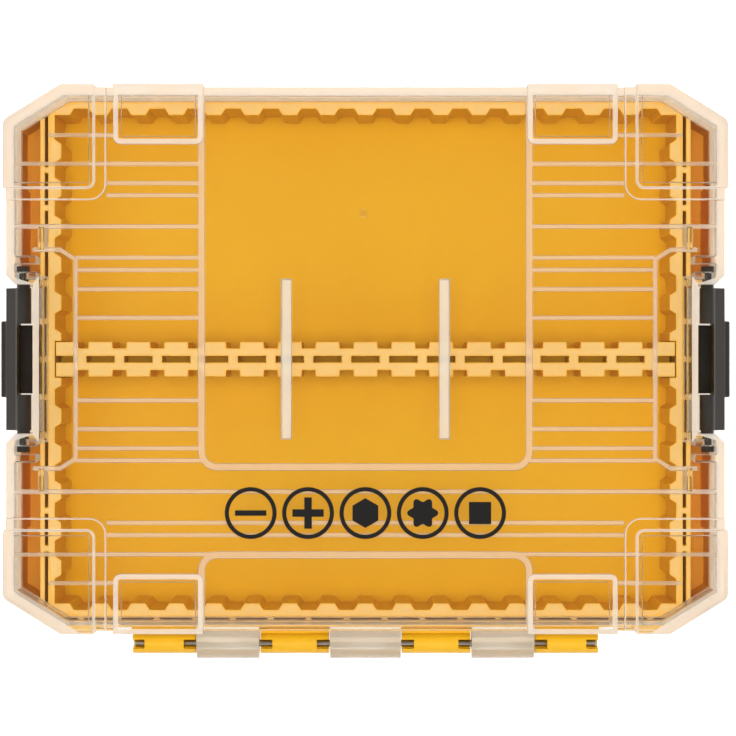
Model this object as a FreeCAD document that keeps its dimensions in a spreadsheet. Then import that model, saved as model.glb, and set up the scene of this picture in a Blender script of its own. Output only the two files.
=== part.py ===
import FreeCAD, Part
import os
import re
import Sketcher
from FreeCAD import Placement, Rotation, Vector

# Hinged bit case: a toothed tray, a clear lid, a divider, two latches and a hinge pin.
# Millimetres. +Z up, +X along the case, +Y towards the front, away from the hinge.
# The origin is the centre of the flat underside.

# Driving dimensions
SIZES = {
    # Outline shared by lid and tray, from the centre
    "half_x": 119.0,
    "half_y": 90.0,
    "corner_cut_x": 18.4,
    "corner_cut_y": 11.4,
    "corner_round": 3.0,
    "notch_half": 24.8,
    "notch_depth": 8.7,
    "ear_chamfer": 3.0,
    "parting_z": 35.0,
    "lid_height": 15.6,
    "seam_gap": 0.15,
    # Raised pads that stack into the tray of the next case
    "pad_rise": 1.4,
    "pad_proud": 1.0,
    "edge_pad_x": 53.7,
    "edge_pad_width": 29.8,
    "edge_pad_length": 19.8,
    "edge_pad_round": 2.4,
    "edge_pad_wall": 2.6,
    "corner_pad_width": 29.1,
    "corner_pad_length": 33.3,
    "corner_pad_round": 2.6,
    "corner_step": 4.0,
    "corner_step_rise": 0.7,
    "corner_step_round": 5.4,
    "stack_depth": 1.6,
    "stack_gap": 0.4,
    # Tray
    "base_inset": 0.3,
    "base_wall": 1.6,
    "floor_thick": 3.2,
    "rail_drop": 2.5,
    "rail_slot": 1.1,
    "rail_thick": 2.3,
    "slot_deep": 14.0,
    "tooth_pitch": 12.8,
    "tooth_out": 2.2,
    "tooth_tip": 4.9,
    "tooth_root": 7.7,
    "web_thick": 2.0,
    "front_tab_x": 62.6,
    "front_tab_width": 9.3,
    "front_tab_height": 22.0,
    "catch_drop": 8.0,
    "catch_out": 1.8,
    "catch_height": 1.2,
    "catch_half": 11.8,
    # Divider
    "divider_slot": 2.2,
    "divider_rail": 2.6,
    "divider_tip": 8.0,
    "divider_root": 8.3,
    "divider_web": 3.3,
    "divider_fit": 0.3,
    # Lid
    "lid_wall": 1.8,
    "lid_plate": 1.9,
    "lip_gap": 0.25,
    "lip_thick": 1.0,
    "lip_depth": 2.0,
    "lip_height": 2.0,
    "rib_wide": 1.2,
    "rib_deep": 0.9,
    "rib_group_y": 44.0,
    "rib_step_one": 10.35,
    "rib_step_two": 14.4,
    "rib_step_three": 20.8,
    "rib_step_four": 30.3,
    "panel_half": 54.4,
    "panel_end_y": 35.8,
    "panel_low_y": 65.0,
    "panel_round": 6.2,
    "panel_border": 2.1,
    "well_width": 14.2,
    "well_half": 33.0,
    "well_turn_x": 5.2,
    "well_turn_y": 3.3,
    "fin_x": 26.3,
    "fin_thick": 3.2,
    "fin_half": 26.5,
    "fin_deep": 12.5,
    "ear_wall": 1.0,
    "ear_rim": 2.2,
    "ear_gap": 3.0,
    "ear_rib": 2.4,
    # Hinge
    "hinge_out": 5.8,
    "hinge_gap": 0.5,
    "pin_radius": 1.2,
    "pin_press": 0.02,
    "pin_fit": 0.06,
    "pin_recess": 0.5,
    "pin_chamfer": 0.3,
    "base_knuckle_radius": 3.3,
    "base_knuckle_gusset": 4.0,
    "lid_knuckle_radius": 5.0,
    "lid_knuckle_gusset": 2.5,
    "knuckle_gap": 0.4,
    "centre_knuckle": 23.8,
    "inner_knuckle": 23.0,
    "middle_knuckle": 21.0,
    "outer_knuckle": 21.2,
    "window_length": 4.0,
    "window_width": 3.0,
    # Latch, measured outwards and downwards from its pivot
    "pivot_in": 4.6,
    "pivot_rise": 7.0,
    "stub_radius": 2.2,
    "stub_fit": 0.06,
    "stub_past_ear": 2.2,
    "latch_end_gap": 1.0,
    "barrel_radius": 2.6,
    "arm_out": 6.2,
    "arm_thick": 2.4,
    "arm_slope": 2.6,
    "arm_length": 18.0,
    "boss_half": 12.8,
    "boss_overlap": 0.9,
    "boss_in": 2.0,
    "boss_out": 8.2,
    "boss_top": 1.8,
    "boss_slope": 2.8,
    "boss_length": 22.5,
    "hook_half": 11.6,
    "hook_thick": 2.6,
    "hook_gap": 0.2,
    "hook_tip_gap": 0.4,
}

# Places and sizes worked out from the driving dimensions
FORMULAS = {
    "wall_in": "base_inset + base_wall",
    "rail_top": "parting_z - rail_drop",
    "slot_low": "rail_top - slot_deep",
    "base_notch_x": "half_x - notch_depth - base_inset",
    "side_wall_in": "base_notch_x - base_wall",
    "side_rail_out": "side_wall_in - rail_slot",
    "side_rail_in": "side_rail_out - rail_thick",
    "side_tooth_x": "side_rail_in - tooth_out",
    "front_wall_in": "half_y - wall_in",
    "front_rail_out": "front_wall_in - rail_slot",
    "front_rail_in": "front_rail_out - rail_thick",
    "front_tooth_y": "front_rail_in - tooth_out",
    "half_teeth_x": "floor((side_rail_out - tooth_root / 2) / tooth_pitch)",
    "half_teeth_y": "floor((front_tooth_y - tooth_root / 2) / tooth_pitch + 0.5)",
    "first_tooth_x": "-half_teeth_x * tooth_pitch",
    "first_tooth_y": "(0.5 - half_teeth_y) * tooth_pitch",
    "divider_half": "divider_slot / 2 + divider_rail",
    "divider_tooth_y": "divider_half + tooth_out",
    "seat_half": "divider_tooth_y + divider_fit",
    "divider_end": "side_rail_in - divider_fit",
    "cut_length": "sqrt(corner_cut_x ^ 2 + corner_cut_y ^ 2)",
    "side_turn": "(cut_length - corner_cut_y) / corner_cut_x",
    "front_turn": "(cut_length - corner_cut_x) / corner_cut_y",
    "diagonal_turn": "sqrt(2) - 1",
    "lid_low": "parting_z + seam_gap",
    "lid_top": "parting_z + lid_height",
    "pad_top": "lid_top + pad_rise",
    "plate_low": "lid_top - lid_plate",
    "rib_low": "plate_low - rib_deep",
    "lip_out": "wall_in + lip_gap",
    "lip_in": "lip_out + lip_thick",
    "edge_pad_end": "edge_pad_x + edge_pad_width",
    "edge_pad_y": "half_y + pad_proud - edge_pad_length",
    "axis_y": "-(half_y + hinge_out)",
    "inner_start": "centre_knuckle / 2 + knuckle_gap",
    "inner_end": "inner_start + inner_knuckle",
    "middle_start": "inner_end + knuckle_gap",
    "middle_end": "middle_start + middle_knuckle",
    "outer_start": "middle_end + knuckle_gap",
    "outer_end": "outer_start + outer_knuckle",
    "pivot_x": "half_x - pivot_in",
    "pivot_z": "parting_z + pivot_rise",
    "ear_low": "pivot_z - stub_radius - ear_rim",
    "ear_back": "notch_half + ear_chamfer + ear_wall",
    "ear_rib_y": "ear_back + ear_gap",
    "lid_notch_x": "half_x - notch_depth",
    "well_x": "lid_notch_x - well_width",
    "well_end_y": "well_half + well_turn_y",
    "well_turn": "sqrt(well_turn_x ^ 2 + well_turn_y ^ 2)",
    "well_mitre_y": "rib_wide / 2 * (well_turn - well_turn_y) / well_turn_x",
    "well_mitre_x": "rib_wide / 2 * (well_turn - well_turn_x) / well_turn_y",
    "latch_half": "notch_half - latch_end_gap",
    "catch_low": "parting_z - catch_drop",
    "hook_top": "catch_low - hook_gap",
    "arm_in": "arm_out - arm_thick",
}

doc = FreeCAD.newDocument("bit_case")
sheet = doc.addObject("Spreadsheet::Sheet", "sizes")
for row, (alias, value) in enumerate(SIZES.items(), start=1):
    sheet.set(f"A{row}", str(value))
    sheet.setAlias(f"A{row}", alias)
doc.recompute()


# Formulas and features

def bind(formula):
    """Write a formula of named sizes as an expression on the sheet's cells."""
    def cell(match):
        name = match[0]
        if name in FORMULAS:
            return f"({bind(FORMULAS[name])})"
        return f"sizes.{name}" if name in SIZES else name
    return re.sub(r"[a-z]\w*", cell, formula)


def number(formula):
    return float(sheet.evalExpression(bind(formula)))


def origin(body, role):
    return next(item for item in body.Origin.OriginFeatures if item.Role == role)


def new_body(name):
    body = doc.addObject("PartDesign::Body", name)
    body.Label = name
    return body


def add(body, kind, name):
    """Feature whose faces stay split, because the last feature of the body joins them all."""
    feature = body.newObject(f"PartDesign::{kind}", name)
    feature.Refine = False
    return feature


def sketch(body, name, plane, loops, height):
    """Closed loops of straight lines on an origin plane moved by height, each corner placed by two formulas."""
    drawing = body.newObject("Sketcher::SketchObject", name)
    drawing.AttachmentSupport = (origin(body, plane), [""])
    drawing.MapMode = "FlatFace"
    drawing.setExpression("AttachmentOffset.Base.z", bind(height))
    for loop in loops:
        places = [Vector(number(across), number(up), 0) for across, up in loop]
        ends = places[1:] + places[:1]
        lines = drawing.addGeometry([Part.LineSegment(a, b) for a, b in zip(places, ends)])
        followers = list(lines[1:]) + [lines[0]]
        drawing.addConstraint([Sketcher.Constraint("Coincident", line, 2, after, 1)
                               for line, after in zip(lines, followers)])
        for line, place, formulas in zip(lines, places, loop):
            for kind, length, formula in zip(("DistanceX", "DistanceY"), place, formulas):
                index = drawing.addConstraint(Sketcher.Constraint(kind, -1, 1, line, 1, length))
                drawing.setExpression(f"Constraints[{index}]", bind(formula))
    return drawing


def pad(body, name, loops, low, high, plane="XY_Plane"):
    """Fill loops from one height to another along the plane's normal."""
    feature = add(body, "Pad", name)
    feature.Profile = sketch(body, name + "_sketch", plane, loops, low)
    feature.setExpression("Length", bind(f"({high}) - ({low})"))
    return feature


def pocket(body, name, loops, low, high):
    """Cut loops away between two heights."""
    feature = add(body, "Pocket", name)
    feature.Profile = sketch(body, name + "_sketch", "XY_Plane", loops, high)
    feature.setExpression("Length", bind(f"({high}) - ({low})"))
    return feature


def cylinder(body, name, direction, radius, start, end, place, cut=False):
    """Round bar or bore along X or Y, from start to end along that axis, at a place on the other two."""
    feature = add(body, "SubtractiveCylinder" if cut else "AdditiveCylinder", name)
    turn = {"x": Rotation(Vector(0, 1, 0), 90), "y": Rotation(Vector(1, 0, 0), -90)}[direction]
    feature.Placement = Placement(Vector(), turn)
    others = [axis for axis in "xyz" if axis != direction]
    for axis, formula in zip([direction] + others, (start,) + place):
        feature.setExpression(f"Placement.Base.{axis}", bind(formula))
    feature.setExpression("Radius", bind(radius))
    feature.setExpression("Height", bind(f"({end}) - ({start})"))
    return feature


def repeat(body, name, feature, axis, count):
    """Copies of a feature along an origin axis, one tooth pitch apart."""
    pattern = add(body, "LinearPattern", name)
    pattern.Originals = [feature]
    pattern.Direction = (origin(body, axis), [""])
    pattern.Mode = "Spacing"
    pattern.setExpression("Offset", bind("tooth_pitch"))
    pattern.setExpression("Occurrences", bind(count))
    body.Tip = pattern
    return pattern


def round_upright(body, name, radius, points):
    """Fillet the upright edges that stand at the given points in plan."""
    doc.recompute()
    base = body.Tip
    places = [Vector(number(x), number(y), 0) for x, y in points]
    chosen = []
    for index, edge in enumerate(base.Shape.Edges, start=1):
        ends = [Vector(vertex.Point.x, vertex.Point.y, 0) for vertex in edge.Vertexes]
        upright = len(ends) == 2 and ends[0].isEqual(ends[1], 1e-4)
        if upright and any(ends[0].isEqual(place, 1e-3) for place in places):
            chosen.append(f"Edge{index}")
    feature = add(body, "Fillet", name)
    feature.Base = (base, chosen)
    feature.setExpression("Radius", bind(radius))
    return feature


# Loops and their mirror images

def negative(formula):
    return f"-({formula})"


def mirrored(points):
    """One closed loop from its points in the first quarter, in order from +X to +Y."""
    left = [(negative(x), y) for x, y in reversed(points)]
    rear = [(negative(x), negative(y)) for x, y in points]
    right = [(x, negative(y)) for x, y in reversed(points)]
    return list(points) + left + rear + right


def left_right(*loops):
    return list(loops) + [[(negative(x), y) for x, y in loop] for loop in loops]


def front_rear(*loops):
    return list(loops) + [[(x, negative(y)) for x, y in loop] for loop in loops]


def four(*loops):
    return front_rear(*left_right(*loops))


def rectangle(x_low, x_high, y_low, y_high):
    return [(x_low, y_low), (x_high, y_low), (x_high, y_high), (x_low, y_high)]


def strip_x(x_low, x_high, y, width):
    """Rectangle along X, centred on y."""
    return rectangle(x_low, x_high, f"({y}) - {width} / 2", f"({y}) + {width} / 2")


def knuckle_spans(*ranges):
    """X ranges of knuckles, each with its twin on the other side."""
    return [span for start, end in ranges for span in ((start, end), (negative(end), negative(start)))]


# The outline, moved inwards by an inset: notch corner, ear chamfer, then the two ends of the corner cut

def notch_corner(inset):
    return (f"half_x - notch_depth - ({inset})", f"notch_half + ({inset})")


def ear_points(inset):
    return [
        (f"half_x - ear_chamfer - ({inset}) * diagonal_turn", f"notch_half + ({inset})"),
        (f"half_x - ({inset})", f"notch_half + ear_chamfer + ({inset}) * diagonal_turn"),
    ]


def cut_points(inset):
    return [
        (f"half_x - ({inset})", f"half_y - corner_cut_y - ({inset}) * side_turn"),
        (f"half_x - corner_cut_x - ({inset}) * front_turn", f"half_y - ({inset})"),
    ]


def outline(inset):
    return mirrored([notch_corner(inset)] + ear_points(inset) + cut_points(inset))


def cut_at_x(inset, x):
    """Point of the corner cut's line at x."""
    side_x, side_y = cut_points(inset)[0]
    return (x, f"{side_y} + ({side_x} - ({x})) * corner_cut_y / corner_cut_x")


def cut_at_y(inset, y):
    """Point of the corner cut's line at y."""
    side_x, side_y = cut_points(inset)[0]
    return (f"{side_x} - (({y}) - ({side_y})) * corner_cut_x / corner_cut_y", y)


def corner_pad(inset, step):
    """The outline's corner, cut off square on its two inner sides, step further in."""
    inner_x = f"half_x - corner_pad_width - ({step})"
    inner_y = f"half_y - corner_pad_length - ({step})"
    side, front = cut_points(inset)
    return [(inner_x, inner_y), (side[0], inner_y), side, front, (inner_x, front[1])]


def edge_pad(grow, proud):
    return rectangle(f"edge_pad_x - ({grow})", f"edge_pad_end + ({grow})",
                     f"edge_pad_y - ({grow})", f"half_y + ({proud})")


def all_corners(*points):
    return [point for loop in four(list(points)) for point in loop]


# Tray

def build_base_tray():
    body = new_body("base_tray")
    pad(body, "tray_block", [outline("base_inset")], "0", "parting_z")
    pad(body, "corner_bumpers", four(corner_pad("base_inset - pad_proud", "0")), "0", "parting_z")
    tab = rectangle("front_tab_x", "front_tab_x + front_tab_width",
                    "front_wall_in", "half_y + pad_proud - base_inset")
    pad(body, "front_tabs", left_right(tab), "parting_z - front_tab_height", "parting_z")
    round_upright(body, "bumper_rounds", "corner_round", all_corners(*cut_points("base_inset - pad_proud")))
    add_base_knuckles(body)
    add_catches(body)

    pocket(body, "rim_space", [outline("wall_in")], "rail_top", "parting_z")
    tray_corner = [cut_at_x("wall_in", "side_wall_in"), cut_points("wall_in")[1]]
    pocket(body, "tray_space", [mirrored(tray_corner)], "floor_thick", "rail_top")
    end_space = [("base_notch_x", "notch_half + wall_in")] + ear_points("wall_in")
    end_space += [cut_points("wall_in")[0], cut_at_x("wall_in", "base_notch_x")]
    pocket(body, "end_spaces", four(end_space), "floor_thick", "rail_top")
    bumper_in = "wall_in - pad_proud"
    bumper_end = "half_y - corner_pad_length + base_wall"
    side = cut_points(bumper_in)[0]
    bumper_space = [("base_notch_x", bumper_end), (side[0], bumper_end), side, cut_at_x(bumper_in, "base_notch_x")]
    pocket(body, "bumper_spaces", four(bumper_space), "floor_thick", "parting_z")

    foot = corner_pad("-pad_proud - stack_gap", "corner_step + stack_gap")
    pocket(body, "stack_corners", four(foot), "0", "stack_depth")
    pocket(body, "stack_edges", four(edge_pad("stack_gap", "pad_proud + stack_gap")), "0", "stack_depth")
    joined = add(body, "Boolean", "toothed_walls")
    joined.Type = "Fuse"
    joined.addObjects([build_rails()])
    return body


def add_base_knuckles(body):
    """Four knuckles on sloped arms, each with a window over the pin at both ends."""
    wall_y = "-(half_y - base_inset - base_wall / 2)"
    low = "parting_z - base_knuckle_radius"
    arm = [("axis_y", low), (wall_y, f"{low} - base_knuckle_gusset"),
           (wall_y, "parting_z - hinge_gap"), ("axis_y", "parting_z - hinge_gap")]
    spans = knuckle_spans(("inner_start", "inner_end"), ("outer_start", "outer_end"))
    axis = ("axis_y", "parting_z")
    windows = []
    for index, (start, end) in enumerate(spans):
        pad(body, f"knuckle_arm_{index}", [arm], start, end, plane="YZ_Plane")
        cylinder(body, f"knuckle_{index}", "x", "base_knuckle_radius", start, end, axis)
        for low_x, high_x in ((start, f"({start}) + window_length"), (f"({end}) - window_length", end)):
            windows.append(strip_x(low_x, high_x, "axis_y", "window_width"))
    cylinder(body, "pin_bore", "x", "pin_radius - pin_press", negative("outer_end"), "outer_end", axis, cut=True)
    pocket(body, "pin_windows", windows, "parting_z", "parting_z + 2 * base_knuckle_radius")


def add_catches(body):
    """Ledges on the notch walls, sloped on top, that the latch hooks go under."""
    root = "base_notch_x - base_wall / 2"
    tip = "base_notch_x + catch_out"
    ledge = [(root, "catch_low"), (tip, "catch_low"), (tip, "catch_low + catch_height"),
             (root, "catch_low + catch_height + catch_out")]
    pad(body, "catches", left_right(ledge), negative("catch_half"), "catch_half", plane="XZ_Plane")


def build_rails():
    """Toothed rails along all four walls of the tray, with slots behind the teeth and webs behind the notches."""
    body = new_body("tray_rails")
    low, high = "floor_thick", "rail_top"
    pad(body, "long_rails", front_rear(long_rail("front_rail_in", "front_rail_out")), low, high)
    pad(body, "side_rails", left_right(side_rail("side_rail_out", "side_rail_in")), low, high)
    pad(body, "long_backs", front_rear(long_rail("front_rail_out", "front_wall_in")), low, "slot_low")
    pad(body, "side_backs", left_right(side_rail("side_wall_in", "side_rail_out")), low, "slot_low")

    tooth = long_tooth("front_rail_in", "front_tooth_y", "tooth_root", "tooth_tip")
    teeth = pad(body, "long_teeth", front_rear(tooth), low, high)
    repeat(body, "long_tooth_row", teeth, "X_Axis", "2 * half_teeth_x + 1")
    web_x = "first_tooth_x + tooth_pitch / 2"
    web = rectangle(f"{web_x} - web_thick / 2", f"{web_x} + web_thick / 2", "front_rail_out", "front_wall_in")
    webs = pad(body, "long_webs", front_rear(web), "slot_low", high)
    repeat(body, "long_web_row", webs, "X_Axis", "2 * half_teeth_x")

    tooth = [("side_rail_in", "first_tooth_y - tooth_root / 2"), ("side_tooth_x", "first_tooth_y - tooth_tip / 2"),
             ("side_tooth_x", "first_tooth_y + tooth_tip / 2"), ("side_rail_in", "first_tooth_y + tooth_root / 2")]
    teeth = pad(body, "side_teeth", left_right(tooth), low, high)
    repeat(body, "side_tooth_row", teeth, "Y_Axis", "2 * half_teeth_y")
    web = strip_x("side_rail_out", "side_wall_in", "first_tooth_y + tooth_pitch / 2", "web_thick")
    webs = pad(body, "side_webs", left_right(web), "slot_low", high)
    repeat(body, "side_web_row", webs, "Y_Axis", "2 * half_teeth_y - 1")
    seat = rectangle("side_tooth_x", "side_rail_in", negative("seat_half"), "seat_half")
    pocket(body, "divider_seats", left_right(seat), low, high)
    return body


def long_rail(y_in, y_out):
    """Strip along the front wall, its ends inside the walls of the corner cuts."""
    middle = "base_inset + base_wall / 2"
    right = [cut_at_y(middle, y_in), cut_at_y(middle, y_out)]
    return right + [(negative(x), y) for x, y in reversed(right)]


def side_rail(x_out, x_in):
    """Strip along the right wall, its ends inside the walls of the corner cuts."""
    middle = "base_inset + base_wall / 2"
    front = [cut_at_x(middle, x_out), cut_at_x(middle, x_in)]
    return front + [(x, negative(y)) for x, y in reversed(front)]


def long_tooth(root_y, tip_y, root, tip):
    """First tooth of a row along X, narrower at its tip."""
    return [(f"first_tooth_x - {root} / 2", root_y), (f"first_tooth_x - {tip} / 2", tip_y),
            (f"first_tooth_x + {tip} / 2", tip_y), (f"first_tooth_x + {root} / 2", root_y)]


# Divider

def build_centre_divider():
    body = new_body("centre_divider")
    low, high = "floor_thick", "rail_top"
    bar = rectangle(negative("divider_end"), "divider_end", negative("divider_half"), "divider_half")
    pad(body, "bar", [bar], low, high)
    tooth = long_tooth("divider_half", "divider_tooth_y", "divider_root", "divider_tip")
    teeth = pad(body, "teeth", front_rear(tooth), low, high)
    repeat(body, "tooth_row", teeth, "X_Axis", "2 * half_teeth_x + 1")
    over = rectangle("divider_end", "divider_end + tooth_pitch", negative("seat_half"), "seat_half")
    pocket(body, "square_ends", left_right(over), low, high)
    slot_half = "(tooth_pitch - divider_web) / 2"
    slot = strip_x(f"first_tooth_x - {slot_half}", f"first_tooth_x + {slot_half}", "0", "divider_slot")
    slots = pocket(body, "slots", [slot], "slot_low", high)
    repeat(body, "slot_row", slots, "X_Axis", "2 * half_teeth_x + 1")
    return body


# Lid

def build_lid():
    body = new_body("lid")
    pad(body, "lid_block", [outline("0")], "lid_low", "lid_top")
    pad(body, "corner_steps", four(corner_pad("0", "corner_step")), "lid_top", "lid_top + corner_step_rise")
    pad(body, "corner_pads", four(corner_pad("-pad_proud", "0")), "lid_low", "pad_top")
    pad(body, "edge_pads", four(edge_pad("0", "pad_proud")), "lid_low", "pad_top")
    round_upright(body, "bumper_rounds", "corner_round", all_corners(*cut_points("-pad_proud")))
    round_upright(body, "corner_pad_rounds", "corner_pad_round", all_corners(corner_pad("0", "0")[0]))
    round_upright(body, "corner_step_rounds", "corner_step_round", all_corners(corner_pad("0", "corner_step")[0]))
    round_upright(body, "edge_pad_rounds", "edge_pad_round", all_corners(*edge_pad("0", "pad_proud")[:2]))
    add_lid_knuckles(body)

    pocket(body, "lid_space", [outline("lid_wall")], "lid_low", "plate_low")
    hollows = four(corner_pad("lid_wall", "-lid_wall"), edge_pad("-edge_pad_wall", "-lid_wall"))
    pocket(body, "pad_hollows", hollows, "plate_low", "plate_low + pad_rise")
    add_lip(body)
    add_ears(body)
    add_panels(body)
    fin = rectangle("fin_x - fin_thick / 2", "fin_x + fin_thick / 2", negative("fin_half"), "fin_half")
    pad(body, "fins", left_right(fin), "plate_low - fin_deep", "lid_top - lid_plate / 2")
    add_wells(body)
    add_ribs(body)
    return body


def add_lid_knuckles(body):
    """Three knuckles that fill the spaces between the tray's knuckles."""
    wall_y = "-(half_y - lid_wall / 2)"
    high = "parting_z + lid_knuckle_radius"
    arm = [("axis_y", "lid_low"), (wall_y, "lid_low"), (wall_y, f"{high} + lid_knuckle_gusset"), ("axis_y", high)]
    spans = [("-centre_knuckle / 2", "centre_knuckle / 2")] + knuckle_spans(("middle_start", "middle_end"))
    axis = ("axis_y", "parting_z")
    for index, (start, end) in enumerate(spans):
        pad(body, f"knuckle_arm_{index}", [arm], start, end, plane="YZ_Plane")
        cylinder(body, f"knuckle_{index}", "x", "lid_knuckle_radius", start, end, axis)
    cylinder(body, "pin_bore", "x", "pin_radius + pin_fit", negative("middle_end"), "middle_end", axis, cut=True)


def add_lip(body):
    """Ring that hangs inside the tray's rim, on a shoulder inside the skirt."""
    pad(body, "lip_shoulder", [outline("lid_wall / 2"), outline("lip_in")], "lid_low", "lid_low + lip_height")
    pad(body, "lip", [outline("lip_out"), outline("lip_in")], "parting_z - lip_depth", "lid_low")


def add_ears(body):
    """Blocks at the notch ends that carry the latch stubs, with a rib and a gusset behind each."""
    half_wall = "lid_wall / 2"
    notch_in = notch_corner(half_wall)
    ear = [notch_in] + ear_points(half_wall)
    ear += [("half_x - lid_wall / 2", "ear_back"), (notch_in[0], "ear_back")]
    rib = rectangle(notch_in[0], "half_x - lid_wall / 2", "ear_rib_y", "ear_rib_y + ear_rib")
    gusset = rectangle("lid_notch_x - 2 * lid_wall", "lid_notch_x - lid_wall", "well_end_y", "rib_group_y")
    pad(body, "ears", four(ear, rib, gusset), "ear_low", "lid_top - lid_plate / 2")
    for side, x in (("right", "pivot_x"), ("left", "-pivot_x")):
        cylinder(body, f"{side}_latch_bore", "y", "stub_radius + stub_fit",
                 negative("ear_back"), "ear_back", (x, "pivot_z"), cut=True)


def add_panels(body):
    """Raised borders under the plate round the two plain panels in the middle."""
    wide = ("-panel_half - panel_border / 2", "panel_half + panel_border / 2")
    narrow = ("-panel_half + panel_border / 2", "panel_half - panel_border / 2")
    rim = "half_y - lid_wall / 2"
    skirt = "half_y - lid_wall"
    upper, lower = "-panel_end_y", "-panel_low_y"
    outer = [rectangle(*wide, f"{upper} - panel_border / 2", rim),
             rectangle(*wide, negative(rim), f"{lower} + panel_border / 2")]
    inner = [rectangle(*narrow, f"{upper} + panel_border / 2", skirt),
             rectangle(*narrow, negative(skirt), f"{lower} - panel_border / 2")]
    pad(body, "panel_borders", outer, "rib_low", "lid_top - lid_plate / 2")
    round_upright(body, "border_rounds", "panel_round", outer[0][:2] + outer[1][2:])
    pocket(body, "panels", inner, "rib_low", "plate_low")
    round_upright(body, "panel_rounds", "panel_round - panel_border", inner[0][:2] + inner[1][2:])


def add_wells(body):
    """Rib round the well that the latch swings in, with its two corners cut."""
    outside = [("lid_notch_x", "well_end_y + rib_wide / 2"),
               ("well_x + well_turn_x - well_mitre_x", "well_end_y + rib_wide / 2"),
               ("well_x - rib_wide / 2", "well_half + well_mitre_y")]
    inside = [("well_x + rib_wide / 2", "well_half - well_mitre_y"),
              ("well_x + well_turn_x + well_mitre_x", "well_end_y - rib_wide / 2"),
              ("lid_notch_x", "well_end_y - rib_wide / 2")]
    upper = outside + [(x, negative(y)) for x, y in reversed(outside)]
    lower = [(x, negative(y)) for x, y in reversed(inside)] + inside
    pad(body, "latch_wells", left_right(upper + lower), "rib_low", "lid_top - lid_plate / 2")


def add_ribs(body):
    """Stiffening ribs under the plate, in two groups mirrored about the middle of each compartment."""
    group = "rib_group_y"
    steps = ("rib_step_one", "rib_step_two", "rib_step_three", "rib_step_four")
    pad_inner = "half_x - corner_pad_width - corner_step"
    skirt = "half_x - lid_wall / 2"
    crossing = [(group, skirt), (f"{group} + rib_step_one", pad_inner),
                (f"{group} + rib_step_two", pad_inner), (f"{group} + rib_step_three", skirt)]
    loops = four(*[strip_x("panel_half", "well_x", f"{group} - {step}", "rib_wide") for step in steps])
    loops += left_right(*[strip_x("panel_half", end, y, "rib_wide") for y, end in crossing])
    loops += [strip_x(negative(end), end, negative(y), "rib_wide") for y, end in crossing]
    loops += four(strip_x("edge_pad_end - lid_wall / 2", "side_rail_in", f"{group} + rib_step_four", "rib_wide"))
    pad(body, "ribs", loops, "rib_low", "lid_top - lid_plate / 2")


# Latches

def build_latch(name, turn):
    """Latch for the left side, turned about Z to its own side."""
    body = new_body(name)

    def place(out, up):
        return (f"-pivot_x - ({out})", f"pivot_z + ({up})")

    arm = [place("0", "barrel_radius"), place("0", "-barrel_radius"),
           place("arm_in", "-arm_slope - barrel_radius"), place("arm_in", "-arm_length"),
           place("arm_out", "-arm_length"), place("arm_out", "-arm_slope")]
    pad(body, "arms", [arm], "-latch_half", "latch_half", plane="XZ_Plane")
    axis = ("-pivot_x", "pivot_z")
    cylinder(body, "barrel", "y", "barrel_radius", "-latch_half", "latch_half", axis)
    gap = rectangle("-pivot_x - boss_in", "-pivot_x + 2 * barrel_radius",
                    "boss_overlap - boss_half", "boss_half - boss_overlap")
    pocket(body, "middle_gap", [gap], "pivot_z - arm_length", "pivot_z + 2 * barrel_radius")

    boss = [place("boss_in", "-boss_top"), place("boss_in", "-boss_top - barrel_radius"),
            place("arm_in", "-arm_slope - barrel_radius - boss_top"), place("arm_in", "-boss_length"),
            place("boss_out", "-boss_length"), place("boss_out", "-boss_top - boss_slope")]
    pad(body, "finger_pull", [boss], "-boss_half", "boss_half", plane="XZ_Plane")
    hook_end = "-base_notch_x - hook_tip_gap"
    hook = [("-pivot_x - arm_out", "hook_top - hook_thick"), ("-pivot_x - arm_out", "hook_top"),
            (hook_end, "hook_top"), (f"({hook_end}) - hook_thick / 2", "hook_top - hook_thick")]
    pad(body, "hook", [hook], "-hook_half", "hook_half", plane="XZ_Plane")
    for side, start, end in (("front", "latch_half - barrel_radius", "ear_back + stub_past_ear"),
                             ("rear", "-ear_back - stub_past_ear", "barrel_radius - latch_half")):
        cylinder(body, f"{side}_stub", "y", "stub_radius", start, end, axis)
    body.Placement = Placement(Vector(), Rotation(Vector(0, 0, 1), turn))
    return body


# Hinge pin

def build_hinge_pin():
    body = new_body("hinge_pin")
    end = "outer_end - pin_recess"
    bar = cylinder(body, "bar", "x", "pin_radius", negative(end), end, ("axis_y", "parting_z"))
    doc.recompute()
    rims = [f"Edge{index}" for index, edge in enumerate(bar.Shape.Edges, start=1) if edge.isClosed()]
    chamfer = add(body, "Chamfer", "lead_in")
    chamfer.Base = (bar, rims)
    chamfer.setExpression("Size", bind("pin_chamfer"))
    return body


bodies = [build_base_tray(), build_centre_divider(), build_lid(),
          build_latch("latch_left", 0), build_latch("latch_right", 180), build_hinge_pin()]
for body in bodies:
    body.Tip.Refine = True
doc.recompute()

failed = [item.Name for item in doc.Objects if {"Invalid", "Error"} & set(item.State)]
if failed:
    raise RuntimeError(f"failed features: {failed}")
for body in bodies:
    if body.Shape.isNull() or not body.Shape.isValid() or len(body.Shape.Solids) != 1:
        raise RuntimeError(f"{body.Label} is not one valid solid")

os.makedirs("parts", exist_ok=True)
for body in bodies:
    body.Shape.exportStep(f"parts/{body.Label}.step")
    box = body.Shape.BoundBox
    print(f"{body.Label}: volume {body.Shape.Volume:.0f} mm3, "
          f"x {box.XMin:.2f} to {box.XMax:.2f}, y {box.YMin:.2f} to {box.YMax:.2f}, z {box.ZMin:.2f} to {box.ZMax:.2f}")
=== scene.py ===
import bpy
import bmesh
import math
from mathutils import Matrix, Vector


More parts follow.
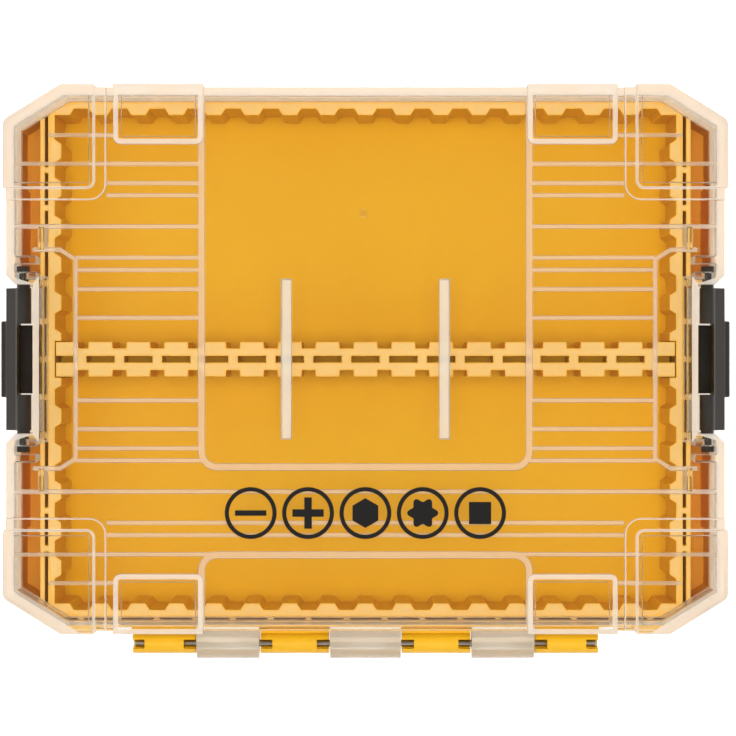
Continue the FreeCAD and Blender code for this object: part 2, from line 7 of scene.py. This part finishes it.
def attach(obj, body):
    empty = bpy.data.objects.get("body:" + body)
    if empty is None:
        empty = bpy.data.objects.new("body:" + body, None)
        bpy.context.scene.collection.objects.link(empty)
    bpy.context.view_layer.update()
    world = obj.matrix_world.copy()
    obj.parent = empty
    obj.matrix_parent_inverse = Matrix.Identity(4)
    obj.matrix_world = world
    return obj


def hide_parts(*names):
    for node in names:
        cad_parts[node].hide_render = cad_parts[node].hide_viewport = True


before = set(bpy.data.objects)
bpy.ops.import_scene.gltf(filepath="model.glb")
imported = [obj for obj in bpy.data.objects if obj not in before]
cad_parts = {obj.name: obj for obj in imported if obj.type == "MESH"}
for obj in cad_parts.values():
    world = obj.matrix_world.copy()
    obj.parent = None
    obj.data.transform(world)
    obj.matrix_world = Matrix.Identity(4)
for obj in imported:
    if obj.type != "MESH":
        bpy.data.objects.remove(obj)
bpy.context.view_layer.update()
mm = 0.001
print("frame loaded:", ", ".join(sorted(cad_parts)))


# materials

mixFrom, mixTo, mixResult = 6, 7, 2  # the colour sockets of a Mix node


def colourFromHex(text):
    channels = [int(text[i:i + 2], 16) / 255 for i in (0, 2, 4)]
    linear = [c / 12.92 if c <= 0.04045 else ((c + 0.055) / 1.055) ** 2.4 for c in channels]
    return (*linear, 1.0)


def addNode(tree, kind, settings=None, links=None):
    # a socket goes by its name, or by its number where two share a name
    node = tree.nodes.new(kind)
    for name, value in (settings or {}).items():
        if isinstance(name, int) or name in node.inputs:
            node.inputs[name].default_value = value
        else:
            setattr(node, name, value)
    for name, socket in (links or {}).items():
        tree.links.new(socket, node.inputs[name])
    return node


def newMaterial(name):
    material = bpy.data.materials.new(name)
    material.use_nodes = True
    material.node_tree.nodes.clear()
    return material, material.node_tree


def perMetre(sizeInMm):
    return 1 / (sizeInMm * mm)  # a texture scale whose features are this wide


def mouldedPlastic(name, look):
    # opaque and satin: faint grain off the mould, slow drift of colour
    material, tree = newMaterial(name)
    place = addNode(tree, "ShaderNodeTexCoord")
    drift = addNode(tree, "ShaderNodeTexNoise",
                    {"Scale": perMetre(look["driftMm"]), "Detail": look["driftDetail"]},
                    {"Vector": place.outputs["Object"]})
    grain = addNode(tree, "ShaderNodeTexNoise",
                    {"Scale": perMetre(look["grainMm"]), "Detail": look["grainDetail"]},
                    {"Vector": place.outputs["Object"]})
    colour = addNode(tree, "ShaderNodeMix",
                     {"data_type": "RGBA", mixFrom: colourFromHex(look["deep"]),
                      mixTo: colourFromHex(look["pale"])},
                     {"Factor": drift.outputs["Fac"]})
    rough = addNode(tree, "ShaderNodeMapRange",
                    {"To Min": look["roughness"][0], "To Max": look["roughness"][1]},
                    {"Value": grain.outputs["Fac"]})
    bump = addNode(tree, "ShaderNodeBump", {"Strength": look["bump"], "Distance": look["bumpMm"] * mm},
                   {"Height": grain.outputs["Fac"]})
    shader = addNode(tree, "ShaderNodeBsdfPrincipled", {"IOR": look["ior"]},
                     {"Base Color": colour.outputs[mixResult], "Roughness": rough.outputs["Result"],
                      "Normal": bump.outputs["Normal"]})
    addNode(tree, "ShaderNodeOutputMaterial", links={"Surface": shader.outputs["BSDF"]})
    return material


# injection moulded yellow ABS: a warm satin yellow, with the even grain of a spark-eroded mould
absLook = {"ior": 1.53, "grainMm": 0.9, "grainDetail": 2.0, "driftDetail": 3.0, "bump": 0.5}
bodyLook = {**absLook, "deep": "E2A608", "pale": "EAB414", "roughness": (0.36, 0.50),
            "driftMm": 70, "bumpMm": 0.02}
# painted sheen: the tops of the rails and divider and the tray's rim are painted paler, for the light they
# reflect
paintedSheenLook = {**absLook, "deep": "F0C070", "pale": "F6CE84", "roughness": (0.42, 0.58),
           "driftMm": 25, "bumpMm": 0.03}
# painted highlight: a brighter band just inside the outline of those tops, for the light their edges catch
paintedHighlightLook = {**absLook, "deep": "F5B94E", "pale": "FAC660", "roughness": (0.24, 0.36),
              "driftMm": 25, "bumpMm": 0.02}
# painted light: a brighter, more orange copy of the yellow for the end pockets, for the glow through their
# thin walls
pocketLook = {**absLook, "deep": "FBAE34", "pale": "FDB840", "roughness": (0.36, 0.50),
              "driftMm": 40, "bumpMm": 0.02}
# glass-filled black nylon: dark grey-brown, fine grain, worn a little paler in patches
nylonLook = {"ior": 1.53, "deep": "18130E", "pale": "2B231A", "roughness": (0.34, 0.52), "grainMm": 0.6,
             "grainDetail": 3.0, "driftMm": 9, "driftDetail": 2.0, "bump": 0.6, "bumpMm": 0.03}


def polycarbonate(name, look):
    # injection moulded polycarbonate: clear off a polished mould, hazy or milky where the mould is textured,
    # and painted pale where it stands in for bright light
    material, tree = newMaterial(name)
    place = addNode(tree, "ShaderNodeTexCoord")
    flow = addNode(tree, "ShaderNodeTexNoise",
                   {"Scale": perMetre(look["flowMm"]), "Detail": look["flowDetail"]},
                   {"Vector": place.outputs["Object"]})
    bump = addNode(tree, "ShaderNodeBump", {"Strength": look["bump"], "Distance": look["bumpMm"] * mm},
                   {"Height": flow.outputs["Fac"]})
    shader = addNode(tree, "ShaderNodeBsdfPrincipled",
                     {"Base Color": colourFromHex(look["tint"]), "Roughness": look["roughness"],
                      "IOR": look["ior"], "Transmission Weight": look["transmission"]},
                     {"Normal": bump.outputs["Normal"]})
    surface = shader.outputs["BSDF"]
    if look["soak"]:  # the share of light that soaks through a thin milky wall
        soaked = addNode(tree, "ShaderNodeBsdfTranslucent", {"Color": colourFromHex(look["tint"])})
        wall = addNode(tree, "ShaderNodeMixShader", {0: look["soak"]},
                       {1: surface, 2: soaked.outputs["BSDF"]})
        surface = wall.outputs["Shader"]
    # the lamps reach the tray through the lid
    passing = addNode(tree, "ShaderNodeBsdfTransparent", {"Color": colourFromHex(look["shadow"])})
    rays = addNode(tree, "ShaderNodeLightPath")
    mix = addNode(tree, "ShaderNodeMixShader",
                  links={0: rays.outputs["Is Shadow Ray"], 1: surface, 2: passing.outputs["BSDF"]})
    addNode(tree, "ShaderNodeOutputMaterial", links={"Surface": mix.outputs["Shader"]})
    return material


pcLook = {"ior": 1.585, "flowDetail": 2.0, "bump": 0.5}
clearLook = {**pcLook, "tint": "FBFAF6", "roughness": 0.02, "transmission": 1.0, "soak": 0.0,
             "flowMm": 16, "bumpMm": 0.006, "shadow": "F7F7F5"}
hazyLook = {**pcLook, "tint": "FCF4E8", "roughness": 0.2, "transmission": 0.62, "soak": 0.25,
            "flowMm": 3, "bumpMm": 0.02, "shadow": "EDEBE6"}
milkyLook = {**pcLook, "tint": "FAF6EE", "roughness": 0.28, "transmission": 0.42, "soak": 0.42,
             "flowMm": 3, "bumpMm": 0.02, "shadow": "E6E3DC"}
frostedLook = {**pcLook, "tint": "F6F4EF", "roughness": 0.5, "transmission": 0.35, "soak": 0.0,
               "flowMm": 0.6, "bumpMm": 0.03, "shadow": "D6D3CC"}
# painted highlight: a pale, less clear finish over the rim and along the edges of pads, steps and ribs, for
# the white around it seen through the rim and the bright lines at edges
paleHighlightLook = {**pcLook, "tint": "EDE3D5", "roughness": 0.25, "transmission": 0.42, "soak": 0.1,
           "flowMm": 2, "bumpMm": 0.02, "shadow": "E6E3DC"}
knuckleLook = {**pcLook, "tint": "DACDB8", "roughness": 0.2, "transmission": 0.55, "soak": 0.0,
               "flowMm": 3, "bumpMm": 0.02, "shadow": "E6E3DC"}


def drawnSteel():
    # bright drawn wire: fine scratches along the pin
    look = {"colour": "B9B7B2", "roughness": (0.22, 0.42), "scratchMm": 0.25, "runMm": 12}
    material, tree = newMaterial("steel_wire_drawn")
    place = addNode(tree, "ShaderNodeTexCoord")
    stretch = addNode(tree, "ShaderNodeMapping", {"Scale": (look["scratchMm"] / look["runMm"], 1.0, 1.0)},
                      {"Vector": place.outputs["Object"]})
    scratch = addNode(tree, "ShaderNodeTexNoise", {"Scale": perMetre(look["scratchMm"]), "Detail": 2.0},
                      {"Vector": stretch.outputs["Vector"]})
    rough = addNode(tree, "ShaderNodeMapRange",
                    {"To Min": look["roughness"][0], "To Max": look["roughness"][1]},
                    {"Value": scratch.outputs["Fac"]})
    shader = addNode(tree, "ShaderNodeBsdfPrincipled",
                     {"Base Color": colourFromHex(look["colour"]), "Metallic": 1.0},
                     {"Roughness": rough.outputs["Result"]})
    addNode(tree, "ShaderNodeOutputMaterial", links={"Surface": shader.outputs["BSDF"]})
    return material


def padPrintInk():
    # pad-printed black ink: matt, slightly uneven film
    look = {"thick": "090807", "thin": "110E0B", "roughness": 0.7, "filmMm": 3, "ior": 1.5}
    material, tree = newMaterial("black_ink_printed")
    place = addNode(tree, "ShaderNodeTexCoord")
    film = addNode(tree, "ShaderNodeTexNoise", {"Scale": perMetre(look["filmMm"]), "Detail": 2.0},
                   {"Vector": place.outputs["Object"]})
    colour = addNode(tree, "ShaderNodeMix",
                     {"data_type": "RGBA", mixFrom: colourFromHex(look["thick"]),
                      mixTo: colourFromHex(look["thin"])},
                     {"Factor": film.outputs["Fac"]})
    shader = addNode(tree, "ShaderNodeBsdfPrincipled", {"Roughness": look["roughness"], "IOR": look["ior"]},
                     {"Base Color": colour.outputs[mixResult]})
    addNode(tree, "ShaderNodeOutputMaterial", links={"Surface": shader.outputs["BSDF"]})
    return material


yellowFinishes = {
    "body": mouldedPlastic("yellow_abs_moulded", bodyLook),
    "painted_sheen": mouldedPlastic("yellow_abs_painted_sheen_tops", paintedSheenLook),
    "painted_highlight": mouldedPlastic("yellow_abs_painted_edge_highlight", paintedHighlightLook),
    "pocket": mouldedPlastic("yellow_abs_end_pockets", pocketLook),
}
lidFinishes = {
    "clear": polycarbonate("clear_polycarbonate_polished", clearLook),
    "hazy": polycarbonate("hazy_polycarbonate_drawn_edge", hazyLook),
    "milky": polycarbonate("milky_polycarbonate_skirt", milkyLook),
    "frosted": polycarbonate("frosted_polycarbonate_textured", frostedLook),
    "rim": polycarbonate("pale_polycarbonate_painted_highlight", paleHighlightLook),
    "knuckle": polycarbonate("beige_polycarbonate_knuckle", knuckleLook),
}
yellowSlots = {word: i for i, word in enumerate(yellowFinishes)}
lidSlots = {word: i for i, word in enumerate(lidFinishes)}
black = mouldedPlastic("black_nylon_moulded", nylonLook)
steel = drawnSteel()
ink = padPrintInk()
print("materials made")


# pieces made from the frame's own shapes, with moulded edges

copyLook = {"mergeMm": 0.12, "flatDegrees": 1, "curvedDegrees": 0.5, "sharpDegrees": 25, "sameMm": 0.05}
flatZ = 0.99  # a face is level where its normal's z is past this
nearFlatZ = 0.92  # and past this it still counts as level, once its edges are soft
wallZ = 0.1  # under this it is a wall


def faceTurn(edge):
    return math.degrees(edge.calc_face_angle(0))


def sharpEdges(edges):
    return [edge for edge in edges if edge.is_valid and faceTurn(edge) > copyLook["sharpDegrees"]]


def mergedCopy(nodeName):
    shape = bmesh.new()
    shape.from_mesh(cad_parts[nodeName].data)
    bmesh.ops.remove_doubles(shape, verts=shape.verts, dist=copyLook["mergeMm"] * mm)
    bmesh.ops.dissolve_limit(shape, angle_limit=math.radians(copyLook["flatDegrees"]),
                             verts=shape.verts, edges=shape.edges)
    shape.normal_update()
    for face in shape.faces:  # smooth on curved walls only
        face.smooth = any(copyLook["curvedDegrees"] < faceTurn(edge) < copyLook["sharpDegrees"]
                          for edge in face.edges)
    return shape


def softenEdges(shape, edges, widthMm, segments=2):
    made = bmesh.ops.bevel(shape, geom=edges, offset=widthMm * mm, offset_type="OFFSET", segments=segments,
                           profile=0.5, affect="EDGES", clamp_overlap=False, material=-1)
    for face in made["faces"]:
        face.smooth = True
    print("  softened", len(edges), "edges,", len(shape.faces), "faces")


def placePiece(shape, name, materials, body):
    mesh = bpy.data.meshes.new(name)
    shape.to_mesh(mesh)
    shape.free()
    for material in materials:
        mesh.materials.append(material)
    piece = bpy.data.objects.new(name, mesh)
    bpy.context.scene.collection.objects.link(piece)
    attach(piece, body)
    return piece


def centreMm(face):
    return face.calc_center_median() / mm


def flatFaces(shape, heightMm):
    return [face for face in shape.faces
            if face.normal.z > flatZ and abs(centreMm(face).z - heightMm) < copyLook["sameMm"]]


def bandInside(shape, faces, widthMm, bandSlot):
    # a band of another finish just inside the outline of some flat faces
    flat = bmesh.ops.triangulate(shape, faces=faces)["faces"]
    made = bmesh.ops.inset_region(shape, faces=flat, thickness=widthMm * mm,
                                  use_boundary=True, use_even_offset=True)
    for face in made["faces"]:
        face.material_index = bandSlot


# pocketMm: where the end pockets are, as spans of x, y and z on either side of the middle
trayLook = {"edgeMm": 0.13, "railTopMm": 32.5, "rimMm": 35.0, "hingeYMm": -90.5, "highlightBandMm": 0.5,
            "pocketMm": ((109.9, 117.2), (28.0, 78.0), (2.9, 32.3))}


def toothedPiece(nodeName, name):
    shape = mergedCopy(nodeName)
    tops = flatFaces(shape, trayLook["railTopMm"])
    rim = [face for face in flatFaces(shape, trayLook["rimMm"]) if centreMm(face).y > trayLook["hingeYMm"]]
    for face in tops + rim:  # tops painted paler and whiter: a painted sheen for the light they reflect
        face.material_index = yellowSlots["painted_sheen"]
    # a painted highlight along the outline of the tops
    bandInside(shape, tops, trayLook["highlightBandMm"], yellowSlots["painted_highlight"])
    for face in shape.faces:  # narrow end pockets: painted light, a brighter and more orange yellow for the glow through their thin walls
        spans = zip(centreMm(face), trayLook["pocketMm"])
        if all(low < abs(v) < high for v, (low, high) in spans):
            face.material_index = yellowSlots["pocket"]
    softenEdges(shape, sharpEdges(shape.edges), trayLook["edgeMm"])
    piece = placePiece(shape, name, yellowFinishes.values(), "base")
    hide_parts(nodeName)


toothedPiece("base_tray", "tray_moulding")
toothedPiece("centre_divider", "divider_moulding")

latchLook = {"edgeMm": 0.12, "pullEdgeMm": 0.5, "pullSegments": 3,
             "pullOutMm": 118.0, "pullTopMm": 41.0, "pullEndMm": 23.0}


def latchPiece(body):
    shape = mergedCopy(body)
    sharp = sharpEdges(shape.edges)

    def onPull(edge):
        return all(abs(v.co.x) > latchLook["pullOutMm"] * mm and v.co.z < latchLook["pullTopMm"] * mm
                   and abs(v.co.y) < latchLook["pullEndMm"] * mm for v in edge.verts)

    pull = [edge for edge in sharp if onPull(edge)]
    rest = [edge for edge in sharp if not onPull(edge)]
    softenEdges(shape, pull, latchLook["pullEdgeMm"], latchLook["pullSegments"])
    softenEdges(shape, sharpEdges(rest), latchLook["edgeMm"])
    piece = placePiece(shape, body + "_moulding", [black], body)
    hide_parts(body)


latchPiece("latch_left")
latchPiece("latch_right")

pinLook = {"edgeMm": 0.1}
shape = mergedCopy("hinge_pin")
softenEdges(shape, sharpEdges(shape.edges), pinLook["edgeMm"])
pin = placePiece(shape, "hinge_pin_wire", [steel], "base")
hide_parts("hinge_pin")

lidLook = {"edgeMm": 0.18, "lipTopMm": 37.3, "lipYMm": 80.0, "ribLowMm": 47.8, "ribSlackMm": 0.3,
           "rimLowMm": 48.3, "plateLowMm": 48.65, "plateTopMm": 50.6, "topSlackMm": 0.1,
           "stepTopMm": 51.3, "padTopMm": 52.0, "cornerPadXMm": 86.0, "padBandMm": 1.7, "lineMm": 0.45,
           "finInMm": 24.5, "finOutMm": 28.1, "finEndMm": 26.7,
           "skirtXMm": 105.0, "skirtYMm": 86.0, "knuckleYMm": 91.5, "cutMm": 0.01}
# planes that part the plate from its thick rim: direction, and distance from the middle in mm
rimPlanes = [((1, 0), 116.3), ((0, 1), 87.3), ((0.527, 0.85), 126.8)]
notchRim = {"xMm": 108.2, "yMm": 27.5, "wallXMm": 112.0}


def lidFinish(face):
    # the finish that a face takes, or nothing where it keeps its own
    centre = centreMm(face)
    x, y, z = abs(centre.x), abs(centre.y), centre.z
    upright = abs(face.normal.z) < nearFlatZ
    onFin = lidLook["finInMm"] < x < lidLook["finOutMm"] and y < lidLook["finEndMm"]
    if onFin and z < lidLook["plateLowMm"]:
        return "frosted"
    if y > lidLook["knuckleYMm"]:
        return "knuckle"
    atNotch = x < notchRim["wallXMm"] and y < notchRim["yMm"]
    if z < lidLook["lipTopMm"]:  # the thin lip inside the tray
        underRear = not upright and centre.y < -lidLook["lipYMm"]
        return "clear" if underRear or atNotch else "hazy"
    if upright and (x > lidLook["skirtXMm"] or y > lidLook["skirtYMm"]) and z < lidLook["plateLowMm"]:
        facesOut = face.normal.xy.dot(centre.xy) > 0
        if facesOut or atNotch:
            return "clear"
        return "hazy" if centre.y < -lidLook["skirtYMm"] else "milky"
    if upright:  # edges of pads, steps and ribs, painted pale as a highlight
        return "rim"
    # the top over the rim and the notch is painted pale, a painted highlight
    if face.normal.z > nearFlatZ and z > lidLook["plateTopMm"] - lidLook["topSlackMm"]:
        # of the two long edges, only the front one has the thick rim
        overRim = any(x * turn[0] + (y if turn[0] else centre.y) * turn[1] > reach
                      for turn, reach in rimPlanes)
        overNotch = x > notchRim["xMm"] and y < notchRim["yMm"]
        return "rim" if overRim or overNotch else None
    underRib = face.normal.z < -nearFlatZ and abs(z - lidLook["ribLowMm"]) < lidLook["ribSlackMm"]
    return "hazy" if underRib else None


def cutFaces(shape, faces, point, direction):
    # a cut through some faces only, so that a part of them can have a finish of its own
    parts = dict.fromkeys(part for face in faces for part in [*face.edges, *face.verts])
    bmesh.ops.bisect_plane(shape, geom=faces + list(parts), dist=lidLook["cutMm"] * mm,
                           plane_co=point, plane_no=direction)


def topFaces(shape):
    lowest = lidLook["plateTopMm"] - lidLook["topSlackMm"]
    return [face for face in shape.faces if face.normal.z > flatZ and centreMm(face).z > lowest]


def skirtFaces(shape):
    def onSkirt(place):
        return abs(place.x) > lidLook["skirtXMm"] or abs(place.y) > lidLook["skirtYMm"]

    return [face for face in shape.faces if abs(face.normal.z) < wallZ and onSkirt(centreMm(face))]


shape = mergedCopy("lid")
padTops = flatFaces(shape, lidLook["padTopMm"])
cornerPads = [face for face in padTops if abs(centreMm(face).x) > lidLook["cornerPadXMm"]]
edgePads = [face for face in padTops if face not in cornerPads]
# painted highlight lines: pale bands just inside the outlines of the pads and steps
bandInside(shape, edgePads, lidLook["padBandMm"], lidSlots["rim"])
bandInside(shape, cornerPads, lidLook["lineMm"], lidSlots["rim"])
bandInside(shape, flatFaces(shape, lidLook["stepTopMm"]), lidLook["lineMm"], lidSlots["rim"])
softenEdges(shape, sharpEdges(shape.edges), lidLook["edgeMm"])
shape.normal_update()
# flat faces in triangles, so that each takes the finish of its own place
lipFaces = [face for face in shape.faces
            if centreMm(face).z < lidLook["lipTopMm"] and abs(face.normal.z) > nearFlatZ]
flat = flatFaces(shape, lidLook["plateTopMm"]) + flatFaces(shape, lidLook["padTopMm"])
bmesh.ops.triangulate(shape, faces=flat + lipFaces)
for turn, reachMm in rimPlanes + [((1, 0), notchRim["xMm"])]:
    for signX, signY in ((1, 1), (1, -1), (-1, 1), (-1, -1)):
        if (turn[0] or signX > 0) and (turn[1] or signY > 0):
            direction = Vector((turn[0] * signX, turn[1] * signY, 0))
            cutFaces(shape, topFaces(shape), direction * reachMm * mm, direction)
cutFaces(shape, skirtFaces(shape), Vector((0, 0, lidLook["rimLowMm"] * mm)), Vector((0, 0, 1)))
shape.normal_update()
for face in shape.faces:
    finish = lidFinish(face)
    if finish:
        face.material_index = lidSlots[finish]
lid = placePiece(shape, "lid_moulding", lidFinishes.values(), "lid")
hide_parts("lid")
print("mouldings placed")


# printed row of driver tips on the lid

printLook = {"topMm": 50.6, "liftMm": 0.005, "filmMm": 0.04, "rowYMm": -51.0, "stepMm": 19.0,
             "ringOutMm": 8.6, "ringInMm": 7.2, "ringSides": 64, "tipMm": 5.2,
             "slotHalfMm": 0.9, "crossHalfMm": 1.25, "hexShare": 0.95, "starWaist": 0.7}


def roundPoints(count, radius, turn=0.0):
    angles = [math.tau * i / count + turn for i in range(count)]
    return [(radius * math.cos(angle), radius * math.sin(angle)) for angle in angles]


def starPoints(lobes, radius, waist, perLobe=8):
    count = lobes * perLobe
    points = []
    for i in range(count):
        angle = math.tau * i / count
        reach = (radius + waist) / 2 + (radius - waist) / 2 * math.cos(lobes * angle)
        points.append((reach * math.cos(angle), reach * math.sin(angle)))
    return points


def crossPoints(radius, half):
    arm = [(radius, -half), (radius, half), (half, half)]
    turns = [Matrix.Rotation(math.pi / 2 * i, 2) for i in range(4)]
    return [tuple(turn @ Vector(point)) for turn in turns for point in arm]


def slotPoints(reach, half):
    return [(-reach, -half), (reach, -half), (reach, half), (-reach, half)]


def printedTip(points):
    shape = bmesh.new()
    for radius in (printLook["ringOutMm"], printLook["ringInMm"]):
        bmesh.ops.create_circle(shape, segments=printLook["ringSides"], radius=radius * mm)
    bmesh.ops.bridge_loops(shape, edges=list(shape.edges))
    shape.faces.new([shape.verts.new((x * mm, y * mm, 0)) for x, y in points])
    film = bmesh.ops.extrude_face_region(shape, geom=list(shape.faces))
    tops = [item for item in film["geom"] if isinstance(item, bmesh.types.BMVert)]
    bmesh.ops.translate(shape, verts=tops, vec=(0, 0, printLook["filmMm"] * mm))
    bmesh.ops.recalc_face_normals(shape, faces=shape.faces)
    return shape


tip = printLook["tipMm"]
tipShapes = {
    "slot": slotPoints(tip, printLook["slotHalfMm"]),
    "cross": crossPoints(tip, printLook["crossHalfMm"]),
    "hex": roundPoints(6, tip * printLook["hexShare"], math.pi / 6),
    "star": starPoints(6, tip, tip * printLook["starWaist"]),
    "square": roundPoints(4, tip, math.pi / 4),
}
middle = (len(tipShapes) - 1) / 2
filmLowMm = printLook["topMm"] + printLook["liftMm"]
for i, (word, points) in enumerate(tipShapes.items()):
    shape = printedTip(points)
    place = ((i - middle) * printLook["stepMm"], printLook["rowYMm"], filmLowMm)
    bmesh.ops.translate(shape, verts=shape.verts, vec=Vector(place) * mm)
    placePiece(shape, "print_" + word, [ink], "lid")
print("print placed")

# gate mark where the lid was filled
gateLook = {"xMm": -0.7, "yMm": 48.4, "zMm": 50.6, "radiusMm": 1.5, "topShare": 0.7, "riseMm": 0.25,
            "sides": 32, "edgeMm": 0.08}
shape = bmesh.new()
bmesh.ops.create_cone(shape, cap_ends=True, segments=gateLook["sides"], radius1=gateLook["radiusMm"] * mm,
                      radius2=gateLook["radiusMm"] * gateLook["topShare"] * mm, depth=gateLook["riseMm"] * mm)
bmesh.ops.bevel(shape, geom=sharpEdges(shape.edges), offset=gateLook["edgeMm"] * mm, offset_type="OFFSET",
                segments=2, profile=0.5, affect="EDGES", clamp_overlap=True, material=-1)
place = (gateLook["xMm"], gateLook["yMm"], gateLook["zMm"] + gateLook["riseMm"] / 2)
bmesh.ops.translate(shape, verts=shape.verts, vec=Vector(place) * mm)
placePiece(shape, "lid_gate_mark", [lidFinishes["clear"]], "lid")
print("gate mark placed")


# floor, lamps and camera

def whiteFloor():
    # white paper sweep: it keeps its own shade, and reads as white where nothing shades it
    look = {"paper": "F2F2F2", "lift": 0.35}
    material, tree = newMaterial("white_paper_sweep")
    paper = addNode(tree, "ShaderNodeBsdfDiffuse", {"Color": colourFromHex(look["paper"])})
    rays = addNode(tree, "ShaderNodeLightPath")
    seen = addNode(tree, "ShaderNodeMath", {"operation": "MAXIMUM"},
                   {0: rays.outputs["Is Camera Ray"], 1: rays.outputs["Is Glossy Ray"]})
    through = addNode(tree, "ShaderNodeMath", {"operation": "MAXIMUM"},
                      {0: seen.outputs[0], 1: rays.outputs["Is Transmission Ray"]})
    strength = addNode(tree, "ShaderNodeMath", {"operation": "MULTIPLY", 1: look["lift"]},
                       {0: through.outputs[0]})
    lift = addNode(tree, "ShaderNodeEmission", links={"Strength": strength.outputs[0]})
    both = addNode(tree, "ShaderNodeAddShader", links={0: paper.outputs["BSDF"], 1: lift.outputs["Emission"]})
    addNode(tree, "ShaderNodeOutputMaterial", links={"Surface": both.outputs["Shader"]})
    return material


floorLook = {"halfM": 3.0, "dropMm": 0.2}
shape = bmesh.new()
bmesh.ops.create_grid(shape, x_segments=1, y_segments=1, size=floorLook["halfM"])
bmesh.ops.translate(shape, verts=shape.verts, vec=(0, 0, -floorLook["dropMm"] * mm))
floorMesh = bpy.data.meshes.new("floor")
shape.to_mesh(floorMesh)
shape.free()
floorMesh.materials.append(whiteFloor())
floor = bpy.data.objects.new("floor", floorMesh)
bpy.context.scene.collection.objects.link(floor)

# soft boxes round the table, and one over it
lampLook = {"count": 4, "distanceM": 0.75, "heightM": 1.2, "sizeM": 0.6, "watts": 2.0,
            "overM": 1.5, "overSizeM": 0.5, "overWatts": 15.5}


def softBox(name, place, size, watts):
    lamp = bpy.data.lights.new(name, "AREA")
    lamp.shape = "SQUARE"
    lamp.size = size
    lamp.energy = watts
    box = bpy.data.objects.new(name, lamp)
    box.location = place
    box.rotation_euler = (-Vector(place)).to_track_quat("-Z", "Y").to_euler()
    bpy.context.scene.collection.objects.link(box)
    return box


for i, (x, y) in enumerate(roundPoints(lampLook["count"], lampLook["distanceM"])):
    softBox(f"soft_box_{i}", (x, y, lampLook["heightM"]), lampLook["sizeM"], lampLook["watts"])
overhead = softBox("soft_box_over", (0, 0, lampLook["overM"]), lampLook["overSizeM"], lampLook["overWatts"])
overhead.visible_glossy = False  # no white sheet mirrored in either face of the lid
overhead.visible_transmission = False

# pale round the sides, dim overhead
worldLook = {"side": 0.75, "top": 0.12, "sideHeight": 0.35, "topHeight": 0.85}
world = bpy.data.worlds.new("studio")
world.use_nodes = True
world.node_tree.nodes.clear()
tree = world.node_tree
place = addNode(tree, "ShaderNodeTexCoord")
parts = addNode(tree, "ShaderNodeSeparateXYZ", links={"Vector": place.outputs["Generated"]})
strength = addNode(tree, "ShaderNodeMapRange",
                   {"From Min": worldLook["sideHeight"], "From Max": worldLook["topHeight"],
                    "To Min": worldLook["side"], "To Max": worldLook["top"]}, {"Value": parts.outputs["Z"]})
sky = addNode(tree, "ShaderNodeBackground", links={"Strength": strength.outputs["Result"]})
addNode(tree, "ShaderNodeOutputWorld", links={"Surface": sky.outputs["Background"]})
bpy.context.scene.world = world

cameraLook = {"xMm": 0.86, "yMm": -2.95, "aboveMm": 850.0, "lidTopMm": 50.6, "acrossMm": 243.84,
              "nearM": 0.01}
camera = bpy.data.cameras.new("camera")
camera.sensor_fit = "HORIZONTAL"
camera.angle = 2 * math.atan(cameraLook["acrossMm"] / 2 / cameraLook["aboveMm"])
camera.clip_start = cameraLook["nearM"]
eye = bpy.data.objects.new("camera", camera)
place = (cameraLook["xMm"], cameraLook["yMm"], cameraLook["lidTopMm"] + cameraLook["aboveMm"])
eye.location = Vector(place) * mm
bpy.context.scene.collection.objects.link(eye)
bpy.context.scene.camera = eye
bpy.context.scene.view_settings.view_transform = "Standard"
print("stage set")
